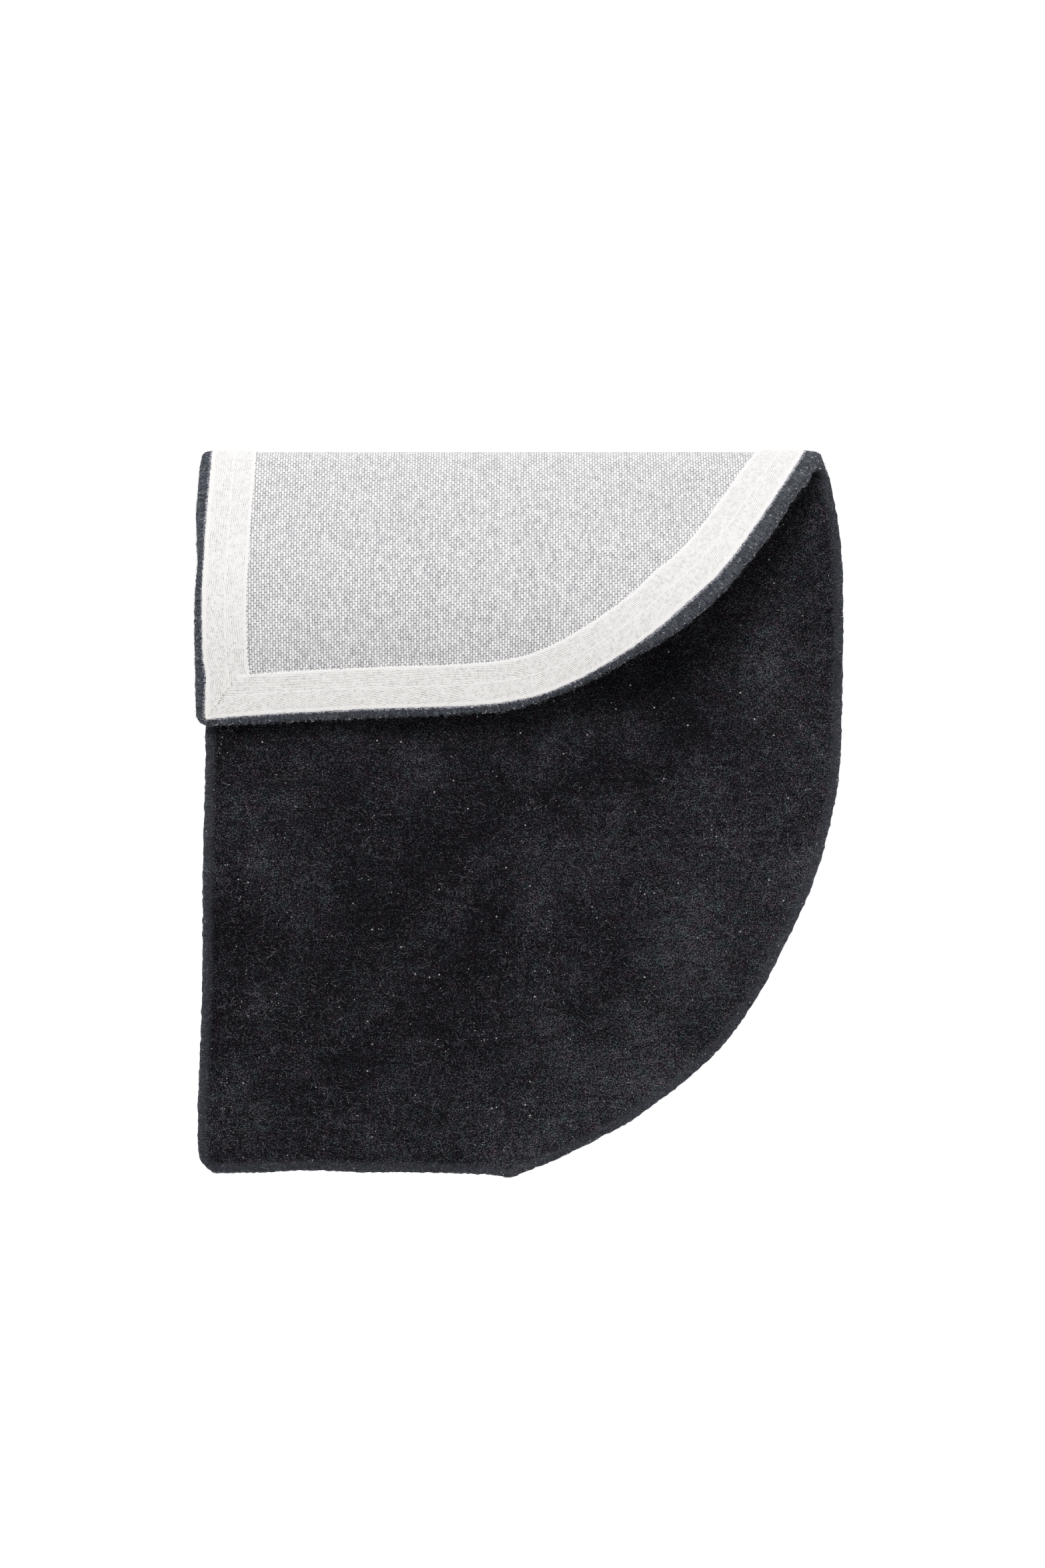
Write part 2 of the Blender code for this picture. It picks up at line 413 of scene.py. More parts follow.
class Wire:
    """An output of a shader node. Arithmetic on it adds Math nodes."""

    def __init__(self, finish, socket):
        self.finish = finish
        self.socket = socket

    def math(self, operation, *values):
        return self.finish.node("ShaderNodeMath", {"operation": operation}, dict(enumerate(values)))

    def __add__(self, other):
        return self.math("ADD", self, other)

    def __sub__(self, other):
        return self.math("SUBTRACT", self, other)

    def __rsub__(self, other):
        return self.math("SUBTRACT", other, self)

    def __mul__(self, other):
        return self.math("MULTIPLY", self, other)

    def __truediv__(self, other):
        return self.math("DIVIDE", self, other)

    def __mod__(self, other):
        return self.math("FLOORED_MODULO", self, other)

    def __abs__(self):
        return self.math("ABSOLUTE", self)

    def floor(self):
        return self.math("FLOOR", self)

    def rise(self, low, high):
        """0 up to low and 1 from high on, with a soft step between. It falls if high is the lower one."""
        return self.finish.node(
            "ShaderNodeMapRange", {"interpolation_type": "SMOOTHSTEP"},
            {0: self, 1: low, 2: high, 3: 0.0, 4: 1.0})

    __radd__ = __add__
    __rmul__ = __mul__


class Finish:
    """A material in the making, round its Principled shader."""

    def __init__(self, name, roughness, **constants):
        self.material = bpy.data.materials.new(name)
        self.material.use_nodes = True
        self.shader = self.material.node_tree.nodes["Principled BSDF"]
        self.shader.inputs["Roughness"].default_value = roughness
        for socket, value in constants.items():
            self.shader.inputs[socket.replace("_", " ")].default_value = value

    def plug(self, socket, value):
        if isinstance(value, Wire):
            self.material.node_tree.links.new(value.socket, socket)
        else:
            socket.default_value = value

    def node(self, kind, settings, sockets, output=0):
        made = self.material.node_tree.nodes.new(kind)
        for name, value in settings.items():
            if name == "stops":
                for _ in value[2:]:
                    made.color_ramp.elements.new(1.0)
                for element, (position, colour) in zip(made.color_ramp.elements, value):
                    element.position = position
                    element.color = (*colour, 1.0)
            else:
                setattr(made, name, value)
        for name, value in sockets.items():
            self.plug(made.inputs[name], value)
        return Wire(self, made.outputs[output])

    def place(self):
        return self.node("ShaderNodeTexCoord", {}, {}, "Object")

    def attribute(self, name, output):
        return self.node("ShaderNodeAttribute", {"attribute_name": name}, {}, output)

    def part(self, vector, axis):
        return self.node("ShaderNodeSeparateXYZ", {}, {0: vector}, axis)

    def pair(self, first, second):
        return self.node("ShaderNodeCombineXYZ", {}, {0: first, 1: second})

    def stretched(self, vector, amounts):
        return self.node("ShaderNodeVectorMath", {"operation": "MULTIPLY"}, {0: vector, 1: amounts})

    def noise(self, vector, scale, detail=2.0, distortion=0.0):
        return self.node(
            "ShaderNodeTexNoise", {},
            {"Vector": vector, "Scale": scale, "Detail": detail, "Distortion": distortion})

    def ramp(self, factor, stops):
        return self.node("ShaderNodeValToRGB", {"stops": stops}, {0: factor})

    def mix(self, factor, first, second, blend="MIX"):
        return self.node(
            "ShaderNodeMix", {"data_type": "RGBA", "blend_type": blend},
            {0: factor, 6: first, 7: second}, 2)

    def colour(self, value):
        self.plug(self.shader.inputs["Base Color"], value)

    def bump(self, height, distance):
        self.plug(self.shader.inputs["Normal"], self.node(
            "ShaderNodeBump", {}, {"Height": height, "Distance": distance, "Strength": 1.0}))


def cut_ends(wool, place, tips, tufts, by_rim):
    """Colour of the pile's face: nearly black, with paler tips, broad worn patches and rare pale specks."""
    clouds = wool.noise(place, 12.0, 5.0).rise(0.36, 0.66)
    patches = wool.noise(place, 42.0, 3.0).rise(0.40, 0.72)
    worn = clouds * 0.6 + patches * 0.4
    rows = wool.noise(wool.stretched(place, (24.0, 300.0, 24.0)), 1.0, 1.0)
    broad = (tufts - 0.5) * 0.12 + (rows - 0.5) * 0.05 + (worn - 0.5) * 0.08 + (by_rim - 0.88) * 0.045
    flecked = wool.ramp(0.5 + (tips - 0.5) * 1.25 + broad, (
        (0.38, (0.0014, 0.0011, 0.0018)),
        (0.48, (0.0076, 0.0069, 0.0093)),
        (0.56, (0.0250, 0.0240, 0.0290)),
        (0.66, (0.1180, 0.1180, 0.1310))))
    hue = wool.noise(place, 170.0, 4.0)
    teal = wool.mix(hue.rise(0.52, 0.64), flecked, (0.84, 1.08, 1.08, 1), "MULTIPLY")
    warm = wool.mix(hue.rise(0.46, 0.34), teal, (1.16, 0.93, 1.02, 1), "MULTIPLY")
    cells = {"voronoi_dimensions": "3D", "feature": "F1"}
    speck_distance = wool.node("ShaderNodeTexVoronoi", cells, {"Vector": place, "Scale": 270.0}, "Distance")
    speck_pick = wool.node("ShaderNodeTexVoronoi", cells, {"Vector": place, "Scale": 270.0}, "Color")
    picked = wool.node("ShaderNodeSeparateColor", {}, {0: speck_pick}, 0).rise(0.962, 0.985)
    return wool.mix(speck_distance.rise(0.22, 0.10) * picked, warm, (0.42, 0.42, 0.43, 1))


def black_wool():
    """The pile's face is darkest, its side greyer where the yarn is seen along its length, and its
    turned-under edge palest. The face is a little paler by the rounded side than elsewhere."""
    wool = Finish("black_wool", 0.95, Specular_IOR_Level=0.06)
    place = wool.place()
    flat = wool.attribute("flat", "Vector")
    x = wool.part(flat, 0)
    height = wool.part(flat, 2)
    distance = wool.attribute("edge", "Fac")
    tips = wool.noise(place, 920.0, 2.0, 0.5) * 0.52 + wool.noise(place, 1800.0, 1.0, 0.4) * 0.48
    tufts = wool.noise(place, 230.0, 1.0)
    by_rim = distance.rise(120 * MM, 50 * MM) * x.rise(60 * MM, 220 * MM)
    top = cut_ends(wool, place, tips, tufts, by_rim)
    step = wool.attribute("along", "Fac") + 5.0 * wool.noise(place, 120.0, 2.0)
    strands = wool.noise(wool.pair(step * 2.0, height * 260.0), 1.0, 2.0)
    lint = wool.noise(place, 800.0, 2.0, 0.8)
    wall = wool.ramp(strands * 0.60 + lint * 0.40, (
        (0.34, (0.0140, 0.0155, 0.0190)),
        (0.48, (0.0410, 0.0450, 0.0540)),
        (0.58, (0.0820, 0.0900, 0.1060)),
        (0.70, (0.2400, 0.2520, 0.2780))))
    shoulder = distance.rise(10 * MM, 4.5 * MM)
    sided = wool.mix(height.rise(15.2 * MM, 12.6 * MM) * 0.35 + shoulder * 0.45, top, wall)
    sided = wool.mix(height.rise(13.4 * MM, 11.0 * MM), sided, wall)
    tucked = wool.attribute("tuck", "Fac") + (lint - 0.5) * 0.9
    wool.colour(wool.mix(tucked.rise(0.86, 1.02), sided, (0.46, 0.46, 0.51, 1)))
    wool.bump(tips * 0.7 + tufts * 0.8 + strands * 0.2, 1.6 * MM)
    return wool.material


def cut_in_bands(bm, face):
    """Cut one flat face in rows and columns, so that it can bend with the mat."""
    cloth = [face]

    def cut(place, direction, faces):
        edges = {edge for item in faces for edge in item.edges}
        verts = {vert for item in faces for vert in item.verts}
        geom = sorted(verts, key=lambda v: v.index) + sorted(edges, key=lambda e: e.index) + faces
        made = bmesh.ops.bisect_plane(bm, geom=geom, dist=0.1, plane_co=place, plane_no=direction)["geom"]
        bm.verts.index_update()
        bm.edges.index_update()
        return [item for item in made if isinstance(item, bmesh.types.BMFace)]

    for start, end, spacing in GROUND_ROWS:
        for i in range(round((end - start) / spacing)):
            cloth = cut((0, start + i * spacing, 0), (0, 1, 0), cloth)
    for i in range(1, round(WIDTH / GROUND_COLUMN)):
        bending = [item for item in cloth if min(v.co.y for v in item.verts) > FOLD_START - 1]
        lying = [item for item in cloth if item not in set(bending)]
        cloth = lying + cut((i * GROUND_COLUMN, 0, 0), (1, 0, 0), bending)


def pile_mesh():
    """Face, side, turned-under edge and ground cloth, all closed. Each point keeps how far it is from the
    outline, its border points their step along it, and the turned-under ones how far they are tucked in."""
    height, inset, share, _ = PILE_WALL[0]
    bm = mat_grid(PILE_COLUMNS, PILE_ROWS, inset, share, height)
    along = bm.verts.layers.float["along"]
    tuck = bm.verts.layers.float.new("tuck")
    border = [edge for edge in bm.edges if edge.is_boundary]
    for vert in bm.verts:
        vert.co.z += FACE_LUMP * tuft_relief(vert.co.copy(), *FACE_LUMPS)
    for height, inset, share, nub in PILE_WALL[1:]:
        grown = bmesh.ops.extrude_edge_only(bm, edges=border)["geom"]
        border = [item for item in grown if isinstance(item, bmesh.types.BMEdge) and item.is_boundary]
        for vert in {vert for edge in border for vert in edge.verts}:
            place = drawn_in(vert[along], inset, share)
            lump = nub * tuft_relief(Vector((*place, height * WALL_LUMP_FLATTENED)), *WALL_LUMPS)
            vert.co = (*drawn_in(vert[along], inset - lump, share), height)
            vert[tuck] = share
    bm.verts.index_update()
    bm.edges.index_update()
    ground = bmesh.ops.edgeloop_fill(bm, edges=border)["faces"][0]
    cut_in_bands(bm, ground)
    edge = bm.verts.layers.float.new("edge")
    rim = kdtree.KDTree(len(OUTLINE))
    for i, place in enumerate(OUTLINE):
        rim.insert((place.x, place.y, 0), i)
    rim.balance()
    for vert in bm.verts:
        vert[edge] = rim.find((vert.co.x, vert.co.y, 0))[2] * MM
    return bm


pile = lay_piece("tufted_pile", pile_mesh(), black_wool())
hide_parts("pile")


# Loose wool
# Fine ends that work out of the cut yarn: short nap all over the face, paler curly fibres and bits
# of lint among it, hairs that stand out round the rim, and a thin grey fuzz along the tape.
FIBRE_ROOT = 0.25
LOWEST_FIBRE = 0.3
TAPER = 0.55
CURL_SPREAD = (0.5, 1.3)
STAND_SPREAD = (0.3, 1.6)
SHADE_SPREAD = 0.28

# Kinds of fibre: how many there are, their seed, shortest and longest, how thick, the points of each,
# how far it curls in turns, how high it stands as a share of its length, how high it arches, its colour
Fibres = namedtuple("Fibres", "amount seed lengths thickness points curl stand arch colour")
NAP_DARK = Fibres(7500, 11, (1.2, 2.6), 0.22, 3, 0.25, 0.10, 0.35, (0.050, 0.047, 0.057))
NAP_GREY = Fibres(4200, 12, (1.0, 2.4), 0.20, 3, 0.30, 0.10, 0.4, (0.135, 0.133, 0.150))
CURLY = Fibres(2300, 13, (2.5, 8.0), 0.15, 6, 0.26, 0.03, 0.5, (0.190, 0.190, 0.212))
LINT = Fibres(420, 14, (0.5, 1.3), 0.48, 3, 0.40, 0.10, 0.4, (0.560, 0.560, 0.570))
RIM_HAIR = Fibres(3200, 15, (2.0, 6.0), 0.15, 6, 0.22, 0.12, 0.5, (0.210, 0.220, 0.245))
RIM_LINT = Fibres(300, 16, (1.0, 3.2), 0.38, 4, 0.60, 0.15, 0.4, (0.640, 0.650, 0.680))
TAPE_FUZZ = Fibres(5200, 17, (1.0, 2.6), 0.18, 4, 0.45, 0.10, 0.2, (0.420, 0.420, 0.460))

# Where they grow. The face starts at one height, and the side lies between two and near the outline.
# Hairs stop where the edge is tucked in by more than a share of the tape's inset, and fuzz starts there.
# The stretch of the face under and on the folded end is hidden, except near the outline.
FACE_FROM = 14.0
SIDE_HEIGHTS = (1.0, 14.9)
SIDE_DEPTH = 4.0
HAIRS_TO_TUCK = 0.6
FUZZ_FROM_TUCK = 0.68
FUZZ_BELOW = 0.95
PATCH = 45.0
CLUSTER = 14.0
HIDDEN_STRETCH = (330.0, 812.0)
HIDDEN_DEPTH = 25.0
HIDDEN_SHARE = 0.12
LYING_RIM_SHARE = 0.12


def on_face(flat, tuck, edge):
    """Nap grows in uneven patches, and sparsely where the folded end hides the face."""
    if flat.z < FACE_FROM:
        return 0.0
    if HIDDEN_STRETCH[0] < flat.y < HIDDEN_STRETCH[1] and edge > HIDDEN_DEPTH:
        return HIDDEN_SHARE
    return max(0.25, 0.8 + 1.5 * noise.noise(flat / PATCH))


def in_clusters(flat, tuck, edge):
    """Lint gathers in small clusters."""
    return on_face(flat, tuck, edge) * max(0.05, noise.noise(flat / CLUSTER) * 4.0 - 0.8)


def on_rim(flat, tuck, edge):
    """Hairs stand out all round the folded end's rim, and sparsely round the lying part's."""
    if not SIDE_HEIGHTS[0] < flat.z < SIDE_HEIGHTS[1] or edge > SIDE_DEPTH or tuck > HAIRS_TO_TUCK:
        return 0.0
    return 1.0 if flat.y > FOLD_START else LYING_RIM_SHARE


def beside_tape(flat, tuck, edge):
    """Fuzz grows along the tape, on the turned-under edge."""
    return 1.0 if tuck > FUZZ_FROM_TUCK and flat.z < FUZZ_BELOW else 0.0


def fibre_path(rng, root, normal, kind):
    """Points of one fibre: it leaves its face at a slant and curls as it lies over it."""
    length = rng.uniform(*kind.lengths) * MM
    side = normal.orthogonal().normalized()
    heading = rng.uniform(0, math.tau)
    turn = rng.choice((-1, 1)) * kind.curl * rng.uniform(*CURL_SPREAD) * math.tau
    points = [root - normal * FIBRE_ROOT * MM]
    rise = length * kind.stand * rng.uniform(*STAND_SPREAD) + FIBRE_ROOT * MM
    flat_place = root.copy()
    for i in range(1, kind.points):
        share = i / (kind.points - 1)
        way = Matrix.Rotation(heading + turn * share, 3, normal) @ side
        flat_place += way * length / (kind.points - 1)
        place = flat_place + normal * (rise * share + kind.arch * MM * math.sin(math.pi * share))
        place.z = max(place.z, LOWEST_FIBRE * MM)
        points.append(place)
    return points


def loose_wool(name, kind, grows):
    """Fibres of one kind on the pile, as one joined piece. They grow by a share that grows() gives for
    the flat place of a face, how far it is tucked under and how far it is from the outline. Faces and
    their corners are taken in the order of their points, which is the same in each run."""
    rng = random.Random(kind.seed)
    mesh = pile.data
    flats = mesh.attributes["flat"].data
    tucks = mesh.attributes["tuck"].data
    edges = mesh.attributes["edge"].data
    faces = []
    weights = []
    for face in sorted(mesh.polygons, key=lambda face: sorted(face.vertices)):
        first = min(face.vertices)
        share = grows(flats[first].vector / MM, tucks[first].value, edges[first].value / MM)
        if share:
            faces.append(face)
            weights.append(share * face.area)
    curve = bpy.data.curves.new(name, "CURVE")
    curve.dimensions = "3D"
    curve.bevel_depth = kind.thickness / 2 * MM
    curve.bevel_resolution = 0
    curve.use_fill_caps = True
    for face in rng.choices(faces, weights, k=kind.amount):
        corners = [mesh.vertices[i].co for i in sorted(face.vertices)]
        shares = [rng.random() for _ in corners]
        root = sum((co * share for co, share in zip(corners, shares)), Vector()) / sum(shares)
        points = fibre_path(rng, root, face.normal.copy(), kind)
        spline = curve.splines.new("POLY")
        spline.points.add(len(points) - 1)
        for i, (point, place) in enumerate(zip(spline.points, points)):
            point.co = (*place, 1.0)
            point.radius = 1.0 - TAPER * abs(2 * i / (len(points) - 1) - 1)
    return laid_curve(name, curve, wool_ends(name, kind.colour))


def laid_curve(name, curve, finish):
    """Turn a curve into a mesh piece of the mat."""
    spun = bpy.data.objects.new(name + "_line", curve)
    bpy.context.collection.objects.link(spun)
    mesh = bpy.data.meshes.new_from_object(spun.evaluated_get(bpy.context.evaluated_depsgraph_get()))
    bpy.data.objects.remove(spun)
    bpy.data.curves.remove(curve)
    mesh.name = name
    mesh.shade_smooth()
    mesh.materials.clear()
    mesh.materials.append(finish)
    piece = bpy.data.objects.new(name, mesh)
    bpy.context.collection.objects.link(piece)
    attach(piece, "root")
    return piece


def wool_ends(name, colour):
    """Wool of nearly one shade."""
    wool = Finish(name, 0.9, Specular_IOR_Level=0.12)
    shade = wool.noise(wool.place(), 240.0, 2.0)
    dull = tuple((1 - SHADE_SPREAD) * value for value in colour)
    bright = tuple((1 + SHADE_SPREAD) * value for value in colour)
    wool.colour(wool.ramp(shade, ((0.36, dull), (0.64, bright))))
    return wool.material


loose = [
    loose_wool("nap_dark", NAP_DARK, on_face),
    loose_wool("nap_grey", NAP_GREY, on_face),
    loose_wool("curly_fibres", CURLY, on_face),
    loose_wool("lint", LINT, in_clusters),
    loose_wool("rim_hairs", RIM_HAIR, on_rim),
    loose_wool("rim_lint", RIM_LINT, on_rim),
    loose_wool("tape_fuzz", TAPE_FUZZ, beside_tape),
]


# Canvas back
# Coarse plain-weave cotton, off-white warp over a greyer weft, glued to the whole back of the mat.
# Its raw edge lies under the tape.
CANVAS_EDGE = 4.0
CANVAS_OUTSIDE = 1.3
CANVAS_THICKNESS = 1.0
CANVAS_COLUMNS = 60
CANVAS_ROWS = 200
WARP_PITCH = 2.035
WEFT_PITCH = 2.03
WEFT_RISE = math.tan(math.radians(3))


def canvas_mesh():
    """A sheet that ends CANVAS_EDGE inside the tape's outer edge, with its outer face at CANVAS_OUTSIDE."""
    bm = mat_grid(CANVAS_COLUMNS, CANVAS_ROWS, CANVAS_EDGE, 1.0, CANVAS_OUTSIDE)
    grown = bmesh.ops.extrude_face_region(bm, geom=bm.faces[:])["geom"]
    inner = [item for item in grown if isinstance(item, bmesh.types.BMVert)]
    bmesh.ops.translate(bm, verts=inner, vec=(0, 0, CANVAS_THICKNESS))
    return bm


def grey_white_canvas():
    """Off-white warp threads stand in columns, with painted shade at one end of each float, where the
    warp dives under a weft thread, half a step on from one column to the next. The greyer weft shows
    between the columns."""
    canvas = Finish("grey_white_canvas", 0.9, Specular_IOR_Level=0.15)
    flat = canvas.attribute("flat", "Vector")
    x = canvas.part(flat, 0)
    s = canvas.part(flat, 1)
    waver = canvas.noise(flat, 35.0, 2.0) - 0.5
    shiver = canvas.noise(flat, 420.0, 1.0) - 0.5
    warp = x / (WARP_PITCH * MM) + waver * 0.5 + shiver * 0.25
    weft = (s + x * WEFT_RISE) / (WEFT_PITCH * MM) + waver * 0.8 + shiver * 0.45
    thread = warp.floor()
    across = abs(warp % 1.0 - 0.5)
    float_step = (weft + thread) / 2.0
    along = float_step % 1.0 - 0.5
    slub = canvas.noise(canvas.stretched(flat, (480.0, 130.0, 1.0)), 1.0, 2.0)
    uneven = canvas.node(
        "ShaderNodeTexWhiteNoise", {"noise_dimensions": "2D"},
        {"Vector": canvas.pair(thread, float_step.floor())})
    grey = canvas.noise(flat, 260.0, 3.0)
    width = 0.27 + slub * 0.10 + uneven * 0.07
    column = across.rise(width + 0.20, width - 0.12)
    # Painted shade at one end of each float, bowed round the thread, where the warp dives under the weft
    bow = along - across * across * 0.75
    end = abs(bow + 0.42 + (uneven - 0.5) * 0.03).rise(0.115, 0.045)
    gap = canvas.ramp(grey, (
        (0.38, (0.280, 0.273, 0.308)),
        (0.62, (0.580, 0.573, 0.612))))
    yarn = canvas.ramp(slub * 0.6 + uneven * 0.3, (
        (0.28, (0.660, 0.650, 0.655)),
        (0.60, (0.935, 0.925, 0.920))))
    # Colour of the painted shade at the floats' ends
    dive_shade = canvas.ramp(grey, (
        (0.38, (0.095, 0.092, 0.105)),
        (0.62, (0.300, 0.295, 0.320))))
    # The painted shade is laid over the columns of yarn and the weft between them
    woven = canvas.mix(end * 0.85, canvas.mix(column, gap, yarn), dive_shade)
    fleck = canvas.noise(flat, 230.0).rise(0.76, 0.82)
    canvas.colour(canvas.mix(fleck * 0.6, woven, (0.50, 0.42, 0.33, 1)))
    canvas.bump(column * (1.0 - end) + slub * 0.2, 0.6 * MM)
    return canvas.material


canvas = lay_piece("canvas_back", canvas_mesh(), grey_white_canvas())
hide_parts("backing_canvas")


# Binding tape
# Ivory cotton tape, herringbone woven with its spine along the middle and a plain selvedge at
# each edge. One length follows the straight side and one the rounded side, mitred at the corners.
TAPE_WIDTH = 35.0
TAPE_THICKNESS = 1.0
TAPE_STEP = 0.9
TAPE_NORMAL_STEPS = 7
TAPE_CORNER = 4.0
NEAR_CORNER = 2 * TAPE_WIDTH
SELVEDGE = 3.0
RIB_PITCH = 1.36
OUTER_LEAN = math.tan(math.radians(9))
INNER_LEAN = math.tan(math.radians(5))

# The stitches draw the inner edge in, a little unevenly, and the outer edge wavers: from which share of
# the width on, how far, and over what length
INNER_EDGE_FROM = 0.9
STITCH_PITCH = 3.3
STITCH_PULL = 1.0
INNER_WAVER = (0.9, 5.0)
OUTER_EDGE_TO = 0.05
OUTER_WAVER = (0.45, 3.0)
OUTER_WAVER_SEED = 5

# At the folded corner the rim tape laps over the side tape by TAPE_LAP, and comes back down to the
# level of the rest over TAPE_LAP_SLOPE beyond the side tape's cut
MITRE_GAP = 0.05
ON_CUT = 0.01
TAPE_LAP = 0.6
TAPE_LAP_SLOPE = 5.0
LAP_ROUNDING = 0.5
INSIDE_ROUNDING = 0.4

# Tape's section: share of its width from the outer edge, and how far its face drops there
TAPE_SECTION = (
    (0.0, 0.40),
    (0.02, 0.10),
    (0.05, 0.0),
    (0.25, 0.0),
    (0.45, 0.0),
    (0.65, 0.0),
    (0.85, 0.0),
    (0.95, 0.0),
    (0.98, 0.12),
    (1.0, 0.40),
)

# Corners of the tape, with the directions in which the side tape and the rim tape are cut off there.
# At the folded corner the rim tape's cut is steeper, so that it laps over the side tape: it runs from
# the corner to SEAM_END beyond it, on the tape's inner edge.
LYING_MITRE = Vector((SIDE[-1][0] + SIDE[-1][2], RIM[0][1] + RIM[0][2], 0))
FOLDED_MITRE = Vector((SIDE[0][0] + SIDE[0][2], RIM[-1][1] - RIM[-1][2], 0))
SEAM_END = Vector((25.0, -35.0, 0))
MITRES = (
    (LYING_MITRE, Vector((1, -1, 0)).normalized(), Vector((1, -1, 0)).normalized()),
    (FOLDED_MITRE, Vector((1, 1, 0)).normalized(), Vector((-SEAM_END.y, SEAM_END.x, 0)).normalized()),
)


def tape_line(edge):
    """The tape's outer edge in short even steps, with the direction into the mat at each."""
    path = smooth_path(edge)
    line = []
    for i, (start, end) in enumerate(zip(path, path[1:])):
        before = path[max(i - 1, 0)]
        after = path[min(i + 2, len(path) - 1)]
        count = max(1, round((end - start).xy.length / TAPE_STEP))
        line += smooth_stretch(before, start, end, after, count)[:-1]
    line.append(path[-1])
    steps = []
    for i, here in enumerate(line):
        way = line[min(i + TAPE_NORMAL_STEPS, len(line) - 1)] - line[max(i - TAPE_NORMAL_STEPS, 0)]
        inward = Vector((-way.y, way.x)).normalized()
        steps.append((here.xy + inward * here.z, inward))
    return steps


def tape_strip(edge):
    """The tape's outer face along one edge of the mat. Each point keeps how far across and along it is."""
    line = tape_line(edge)
    bm = bmesh.new()
    weave = bm.verts.layers.float_vector.new("weave")
    bm.verts.layers.float.new("seam")
    bmesh.ops.create_grid(bm, x_segments=len(line) - 1, y_segments=len(TAPE_SECTION) - 1, size=0.5)
    lengths = [0.0]
    for (start, _), (end, _) in zip(line, line[1:]):
        lengths.append(lengths[-1] + (end - start).length)
    for vert in bm.verts:
        i = round((vert.co.x + 0.5) * (len(line) - 1))
        place, inward = line[i]
        share, drop = TAPE_SECTION[round((vert.co.y + 0.5) * (len(TAPE_SECTION) - 1))]
        across = share * TAPE_WIDTH
        if share > INNER_EDGE_FROM:
            by_edge = (share - INNER_EDGE_FROM) / (1 - INNER_EDGE_FROM)
            pull = STITCH_PULL * (0.5 + 0.5 * math.cos(lengths[i] / STITCH_PITCH * math.tau))
            waver = INNER_WAVER[0] * abs(noise.noise(Vector((*place, 0)) / INNER_WAVER[1]))
            across -= by_edge * (pull + waver)
        if share < OUTER_EDGE_TO:
            by_edge = (OUTER_EDGE_TO - share) / OUTER_EDGE_TO
            waver = OUTER_WAVER[0] * noise.noise(Vector((*place, OUTER_WAVER_SEED)) / OUTER_WAVER[1])
            across += by_edge * waver
        vert[weave] = (across * MM, lengths[i] * MM, 0)
        vert.co = (*(place + inward * across), drop)
    return bm


def cut_tape(bm, place, direction, keep_inner=True, keep_outer=True):
    """Cut the tape across near one corner, and take away what isn't kept."""
    near = [face for face in bm.faces if (face.calc_center_median() - place).length < NEAR_CORNER]
    edges = sorted({edge for face in near for edge in face.edges}, key=lambda e: e.index)
    verts = sorted({vert for face in near for vert in face.verts}, key=lambda v: v.index)
    bmesh.ops.bisect_plane(
        bm, geom=verts + edges + near, dist=0.001, plane_co=place, plane_no=direction,
        clear_inner=not keep_inner, clear_outer=not keep_outer)
    bm.verts.index_update()
    bm.edges.index_update()


def round_tip(bm, corner, outward):
    """Round off the tape's pointed end at one corner."""
    middle = corner.xy + Vector((TAPE_CORNER, math.copysign(TAPE_CORNER, -outward.y)))
    for vert in bm.verts:
        out = vert.co.xy - middle
        if out.x < 0 and out.y * outward.y > 0 and out.length > TAPE_CORNER:
            vert.co.xy = middle + out.normalized() * TAPE_CORNER


def lap_over(bm, inside):
    """Lift the rim tape over the side tape at the folded corner, in a soft slope."""
    corner, side_cut, _ = MITRES[1]
    for vert in bm.verts:
        out = vert.co - corner
        past = max(0, out.dot(side_cut) / TAPE_LAP_SLOPE)
        if out.length < NEAR_CORNER and past < 1:
            lift = 1 - past * past * (3 - 2 * past)
            lapped = -MITRE_GAP if vert in inside else -TAPE_LAP + LAP_ROUNDING * vert.co.z
            vert.co.z += (lapped - vert.co.z) * lift


def tape_mesh(edge, rim_side):
    """One length of tape, cut off at both corners. The rim's length is marked along its cuts, where the
    needle went through and the shade of the stitching is painted, and has one more line of points along the
    side tape's cut, where it bends."""
    bm = tape_strip(edge)
    seam = bm.verts.layers.float["seam"]
    for corner, side_cut, rim_cut in MITRES:
        if rim_side:
            cut_tape(bm, corner, rim_cut, keep_inner=False)
            for vert in bm.verts:
                out = vert.co - corner
                if out.xy.length < NEAR_CORNER and abs(out.dot(rim_cut)) < ON_CUT:
                    vert[seam] = 1.0
            cut_tape(bm, corner, side_cut)
        else:
            cut_tape(bm, corner - side_cut * MITRE_GAP, side_cut, keep_outer=False)
        round_tip(bm, corner, rim_cut)
    grown = bmesh.ops.extrude_face_region(bm, geom=bm.faces[:])["geom"]
    inside = {item for item in grown if isinstance(item, bmesh.types.BMVert)}
    for vert in inside:
        vert.co.z = TAPE_THICKNESS - INSIDE_ROUNDING * vert.co.z
    if rim_side:
        lap_over(bm, inside)
    return bm


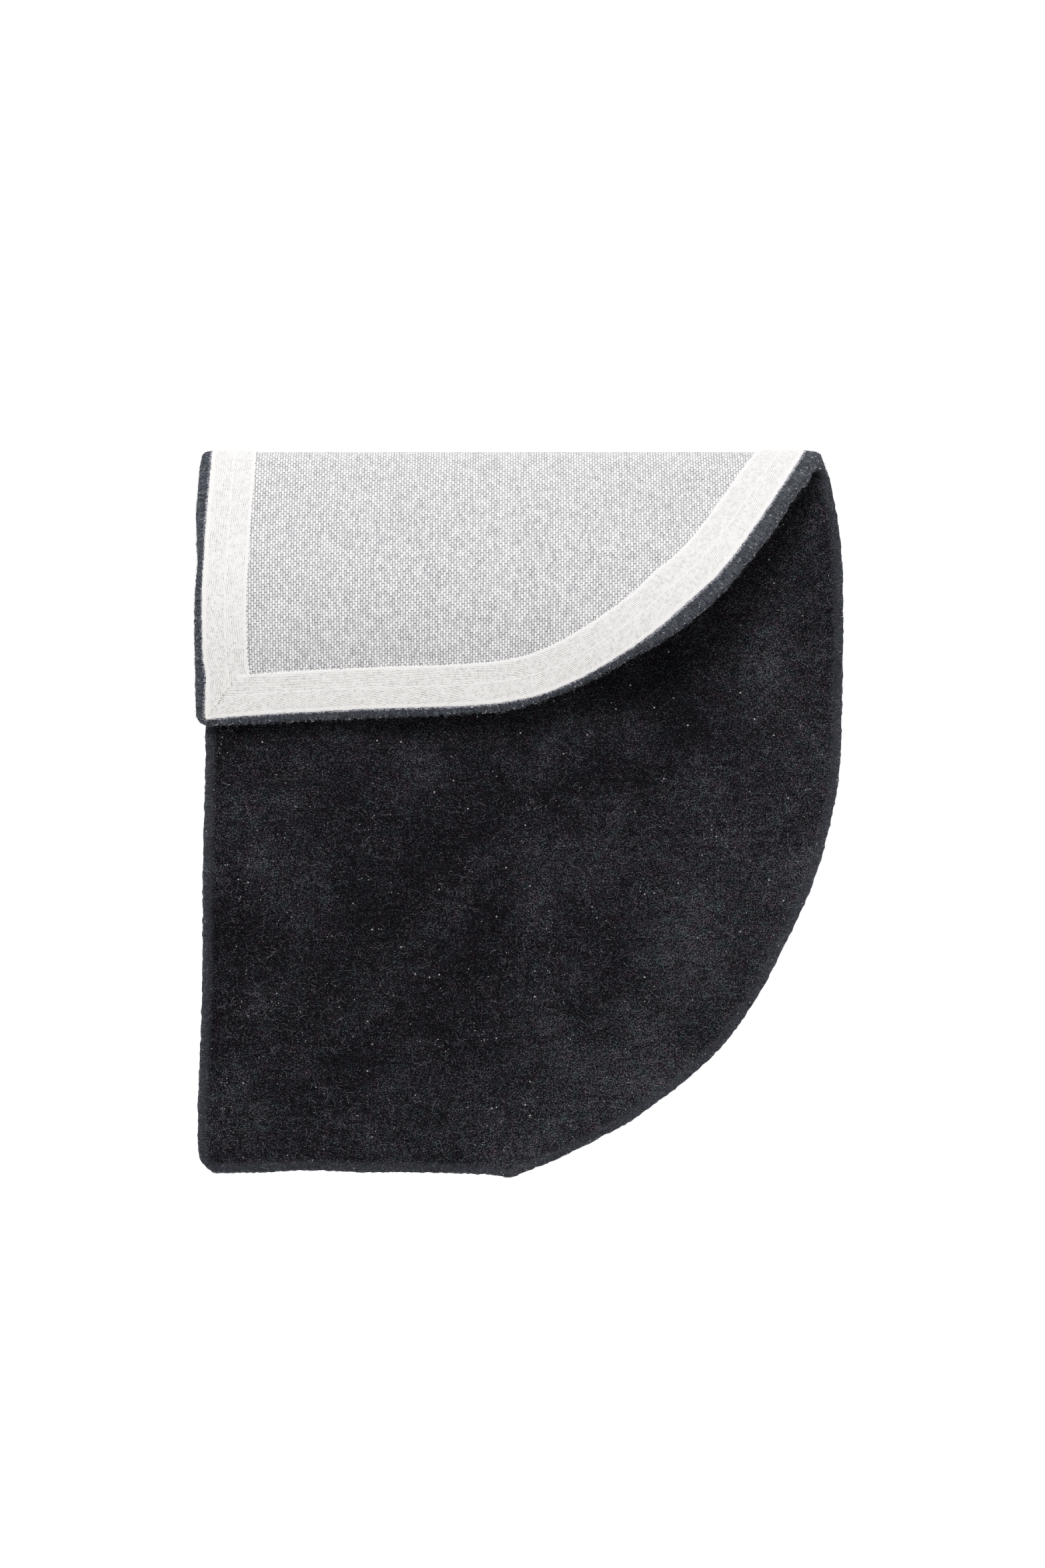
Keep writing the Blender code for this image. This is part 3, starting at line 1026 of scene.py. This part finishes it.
def ivory_tape():
    """Ribs lean away from the spine on both sides, with painted shade in broken furrows and small pits
    between them. The selvedges are plainer, and the needle's stitch points along the rim tape's cuts are
    painted with shade."""
    tape = Finish("ivory_herringbone", 0.85, Specular_IOR_Level=0.2)
    weave = tape.attribute("weave", "Vector")
    across = tape.part(weave, 0)
    length = tape.part(weave, 1)
    outer = across.rise((TAPE_WIDTH / 2 + 0.3) * MM, (TAPE_WIDTH / 2 - 0.3) * MM)
    from_spine = abs(across - TAPE_WIDTH / 2 * MM)
    waver = tape.noise(weave, 70.0, 2.0) - 0.5
    lean = INNER_LEAN + outer * (OUTER_LEAN - INNER_LEAN)
    rib = (from_spine - length * lean) / (RIB_PITCH * MM) + waver * 0.9
    line = abs(rib % 1.0 - 0.5)
    row = rib.floor() * 37.3 + outer * 11.0
    dash = tape.noise(tape.pair(row, length * 120.0), 1.0, 3.0)
    slit = tape.noise(tape.pair(row + 7.7, length * 420.0), 1.0, 1.0)
    field = from_spine.rise((TAPE_WIDTH / 2 - SELVEDGE + 0.6) * MM, (TAPE_WIDTH / 2 - SELVEDGE - 1.0) * MM)
    woven = (0.10 + 0.90 * field) * from_spine.rise(0.1 * MM, 0.9 * MM)
    # Painted shade in the broken furrows between the ribs, and in small pits along them
    furrow_shade = line.rise(0.22, 0.48) * (0.20 + 0.80 * dash.rise(0.38, 0.68)) * woven
    pit_shade = line.rise(0.30, 0.44) * slit.rise(0.53, 0.64) * woven
    # Painted shade of the stitching, in dots along the rim tape's cuts
    by_seam = tape.attribute("seam", "Fac").rise(0.30, 0.75)
    stitch_shade = by_seam * tape.noise(weave, 520.0, 1.0).rise(0.47, 0.56)
    slub = tape.noise(tape.stretched(weave, (1100.0, 260.0, 1.0)), 1.0, 3.0)
    grain = tape.noise(weave, 1050.0, 2.0)
    cotton = tape.ramp(slub * 0.5 + grain * 0.5, (
        (0.36, (0.770, 0.740, 0.712)),
        (0.58, (1.000, 0.966, 0.940))))
    # Painted shade: the cotton greyed in the furrows, then much deeper in the pits and along the stitching
    ribbed = tape.mix(furrow_shade * 0.72, cotton, (0.42, 0.40, 0.385, 1))
    tape.colour(tape.mix(pit_shade * 0.85 + stitch_shade * 0.6, ribbed, (0.18, 0.17, 0.17, 1)))
    tape.bump(slub * 0.35 - furrow_shade * 0.6 - pit_shade * 0.5 + grain * 0.2, 0.45 * MM)
    return tape.material


herringbone = ivory_tape()
side_tape = lay_piece("side_tape", tape_mesh(SIDE, rim_side=False), herringbone)
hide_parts("tape_side")
rim_tape = lay_piece("rim_tape", tape_mesh(RIM, rim_side=True), herringbone)
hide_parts("tape_rim")
